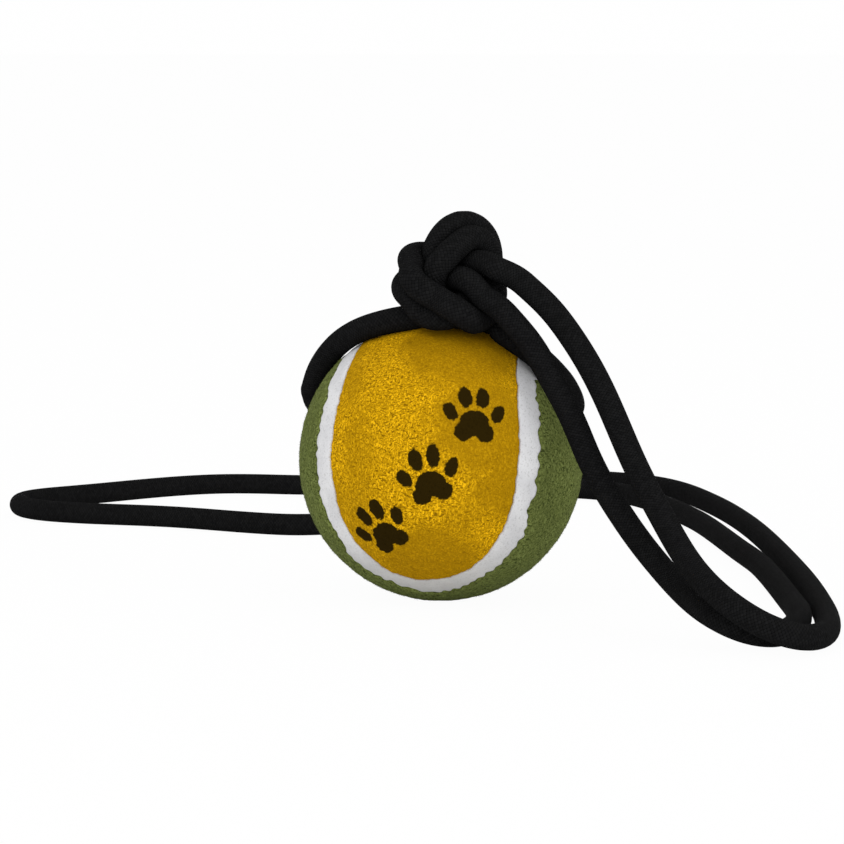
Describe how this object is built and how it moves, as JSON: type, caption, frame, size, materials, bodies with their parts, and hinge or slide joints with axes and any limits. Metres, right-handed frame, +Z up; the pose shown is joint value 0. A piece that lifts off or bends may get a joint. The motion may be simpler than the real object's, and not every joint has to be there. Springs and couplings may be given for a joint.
{
  "type": "ball on rope",
  "caption": "Felted rubber ball with a rope through it, tied in one overhand knot over the ball and running on into a long hand loop for throwing and tugging.",
  "frame": {"origin": "where the ball rests on the floor, at the middle of its small flat", "axes": "+Z up, -Y to the front, where the gold felt faces, +X to the right, where the rope leaves the knot"},
  "size_m": [0.2007, 0.2342, 0.0868],
  "materials": {
    "core_rubber": "matt moulded rubber",
    "gold_felt": "napped felt, golden yellow with darker flecks",
    "green_felt": "napped felt, olive green",
    "seam_rubber": "matt white rubber",
    "rope_sheath": "near-black braided sheath with a slight satin"
  },
  "bodies": {
    "rope": {"rope_left_half": "rope_sheath", "rope_right_half": "rope_sheath", "hand_loop": "rope_sheath"},
    "ball": {"core_half_left": "core_rubber", "core_half_right": "core_rubber", "gold_felt": "gold_felt", "green_felt": "green_felt", "seam_line": "seam_rubber"}
  },
  "joints": [
    {"name": "ball_swing", "type": "hinge", "parent": "rope", "child": "ball", "pos_m": [0.0011, 0.0029, 0.041], "axis": [0.9348, -0.3551, 0], "range_deg": [0, 70]}
  ]
}
